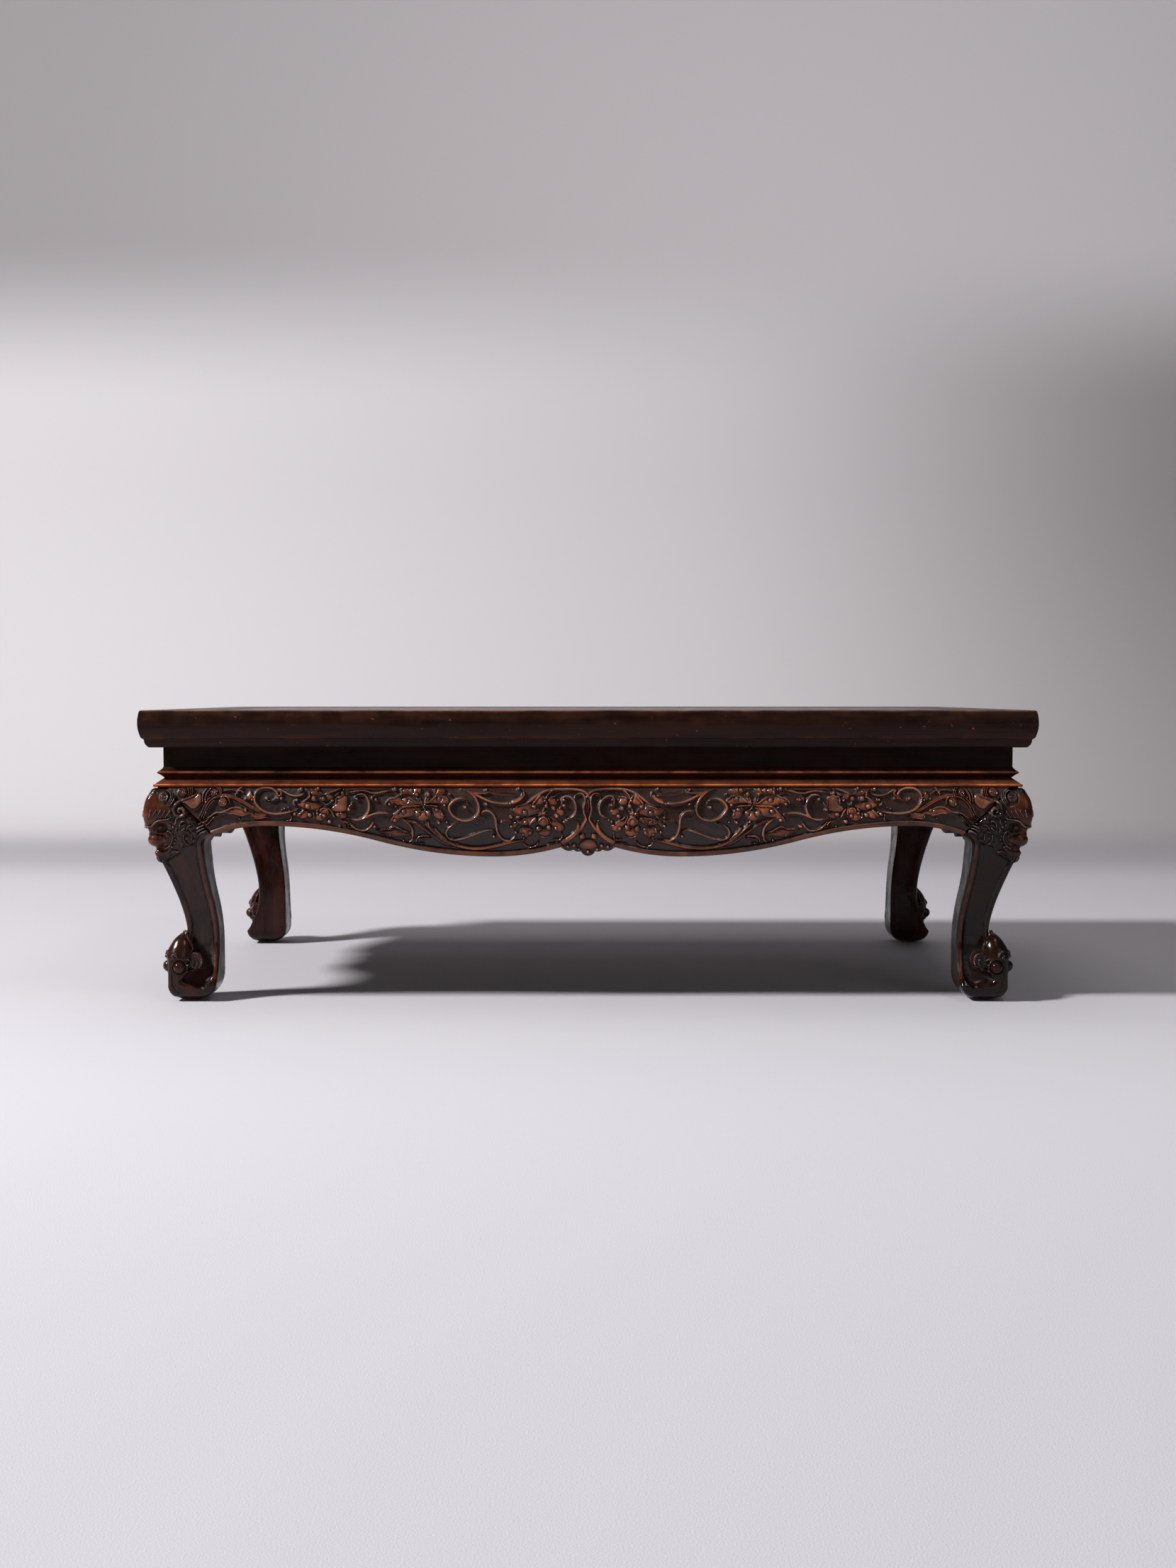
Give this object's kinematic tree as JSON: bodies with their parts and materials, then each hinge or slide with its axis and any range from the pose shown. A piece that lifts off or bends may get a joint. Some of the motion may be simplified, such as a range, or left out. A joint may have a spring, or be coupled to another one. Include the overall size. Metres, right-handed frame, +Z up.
{
  "type": "kang table",
  "caption": "Low waisted hardwood table with a mitred frame-and-panel top, carved cusped aprons, and cabriole legs with mask knees and turned-up bud feet.",
  "frame": {"origin": "middle of the footprint, on the floor", "axes": "+X along the table's length, +Y towards the back, +Z up; the front apron faces -Y"},
  "size_m": [0.92, 0.515, 0.304],
  "materials": {
    "frame_wood": "waxed dark brown hardwood, rubbed at the edges",
    "panel_wood": "waxed dark brown hardwood, long grain",
    "waist_wood": "dark brown-black hardwood, dull in the recess",
    "carved_wood": "polished carved hardwood, dark grounds, red-brown high points",
    "secondary_wood": "plain planed hardwood under the top"
  },
  "bodies": {
    "root": {"top_rail_front": "frame_wood", "top_rail_back": "frame_wood", "top_rail_left": "frame_wood", "top_rail_right": "frame_wood", "panel_board_front": "panel_wood", "panel_board_back": "panel_wood", "batten_1": "secondary_wood", "batten_2": "secondary_wood", "batten_3": "secondary_wood", "waist_board_front": "waist_wood", "waist_board_back": "waist_wood", "waist_board_left": "waist_wood", "waist_board_right": "waist_wood", "torus_moulding_front": "carved_wood", "torus_moulding_back": "carved_wood", "torus_moulding_left": "carved_wood", "torus_moulding_right": "carved_wood", "apron_front": "carved_wood", "apron_back": "carved_wood", "apron_left": "carved_wood", "apron_right": "carved_wood", "leg_front_left": "carved_wood", "leg_front_right": "carved_wood", "leg_back_left": "carved_wood", "leg_back_right": "carved_wood"}
  },
  "joints": []
}
